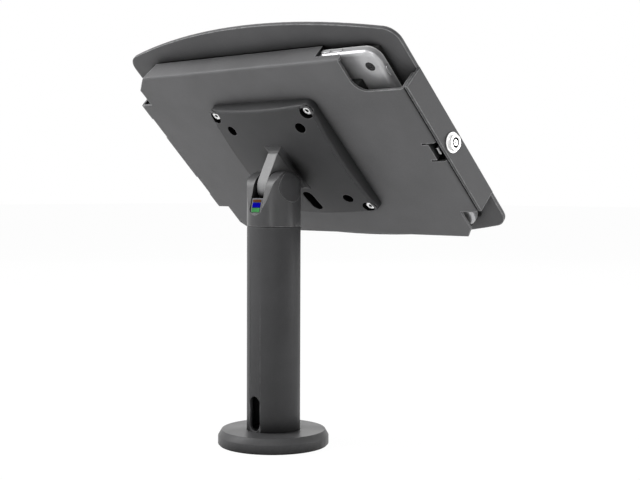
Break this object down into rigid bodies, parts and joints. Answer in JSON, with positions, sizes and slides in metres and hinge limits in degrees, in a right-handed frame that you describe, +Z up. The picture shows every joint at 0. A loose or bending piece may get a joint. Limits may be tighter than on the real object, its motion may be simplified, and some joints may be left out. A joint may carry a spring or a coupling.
{
  "type": "tablet kiosk stand",
  "caption": "Counter-top tablet kiosk stand: round base, slotted pole, swivelling and tilting clevis head, and a lockable sheet-metal enclosure with a bowed bezel round a tablet.",
  "frame": {"origin": "centre of the base's underside, on the counter and on the pole's axis", "axes": "+Z up along the pole, +X along the tablet's long side away from the lock, the screen faces -Y and up, so the cable slots face +Y"},
  "size_m": [0.2942, 0.1637, 0.3201],
  "materials": {
    "powder_coat": "satin powder coat",
    "powder_coat_arm": "satin powder coat",
    "rubber": "matt",
    "steel": "satin",
    "nylon": "matt",
    "bright_steel": "bright",
    "insert_pale": "satin",
    "insert_green": "satin",
    "insert_blue": "satin",
    "insert_amber": "satin",
    "silver": "fine blasted",
    "white_glass": "gloss",
    "screen": "gloss"
  },
  "bodies": {
    "stand": {"foot_pad": "rubber", "base_disc": "powder_coat", "pole_tube": "powder_coat", "pole_anchor": "steel", "anchor_screws": "steel", "swivel_bush": "nylon"},
    "head": {"swivel_head": "powder_coat", "swivel_shaft": "steel", "shaft_nut": "steel", "pivot_pin": "steel", "pivot_cap_lock_side": "powder_coat", "pivot_cap_far_side": "powder_coat", "friction_washers": "steel", "slot_insert": "insert_pale", "insert_band_green": "insert_green", "insert_band_blue": "insert_blue", "insert_band_amber": "insert_amber"},
    "carrier": {"tray": "powder_coat", "mounting_plate": "powder_coat", "tilt_arm": "powder_coat_arm", "arm_screws": "steel", "mounting_screws": "bright_steel", "clinch_nuts": "steel", "catch_stud": "steel", "tablet_pads": "rubber", "side_pads": "rubber"},
    "tablet": {"tablet_shell": "silver", "tablet_glass": "white_glass", "tablet_display": "screen", "rear_camera": "screen", "front_camera": "screen"},
    "bezel": {"front_bezel": "powder_coat", "bezel_gasket": "rubber", "lock_barrel": "bright_steel", "lock_nut": "steel"},
    "lock": {"lock_plug": "bright_steel", "lock_cam": "bright_steel", "cam_screw": "steel"},
    "home": {"home_button": "white_glass"},
    "power": {"power_button": "silver"},
    "volume_up": {"volume_up_button": "silver"},
    "volume_down": {"volume_down_button": "silver"}
  },
  "joints": [
    {"name": "head_swivel", "type": "hinge", "parent": "stand", "child": "head", "pos_m": [0, 0, 0.17], "axis": [0, 0, 1], "range_deg": [-170, 170]},
    {"name": "tablet_tilt", "type": "hinge", "parent": "head", "child": "carrier", "pos_m": [0, 0, 0.2], "axis": [1, 0, 0], "range_deg": [-40, 40]},
    {"name": "bezel_swing", "type": "hinge", "parent": "carrier", "child": "bezel", "pos_m": [0.1405, -0.03806, 0.23859], "axis": [0, 0.712, 0.7022], "range_deg": [0, 70]},
    {"name": "tablet_lift", "type": "slide", "parent": "carrier", "child": "tablet", "axis": [0, -0.7022, 0.712], "range_m": [0, 0.0184]},
    {"name": "lock_turn", "type": "hinge", "parent": "bezel", "child": "lock", "pos_m": [-0.1473, -0.03407, 0.23199], "axis": [1, 0, 0], "range_deg": [0, 90]},
    {"name": "home_press", "type": "slide", "parent": "tablet", "child": "home", "axis": [0, 0.7022, -0.712], "range_m": [0, 0.0004], "stiffness_N_per_m": 300},
    {"name": "power_press", "type": "slide", "parent": "tablet", "child": "power", "axis": [1, 0, 0], "range_m": [0, 0.0004], "stiffness_N_per_m": 300},
    {"name": "volume_up_press", "type": "slide", "parent": "tablet", "child": "volume_up", "axis": [0, -0.712, -0.7022], "range_m": [0, 0.0004], "stiffness_N_per_m": 300},
    {"name": "volume_down_press", "type": "slide", "parent": "tablet", "child": "volume_down", "axis": [0, -0.712, -0.7022], "range_m": [0, 0.0004], "stiffness_N_per_m": 300}
  ],
  "couplings": [
    {"joint": "tablet_lift", "follows": "bezel_swing", "m_per_rad": 0.015}
  ]
}
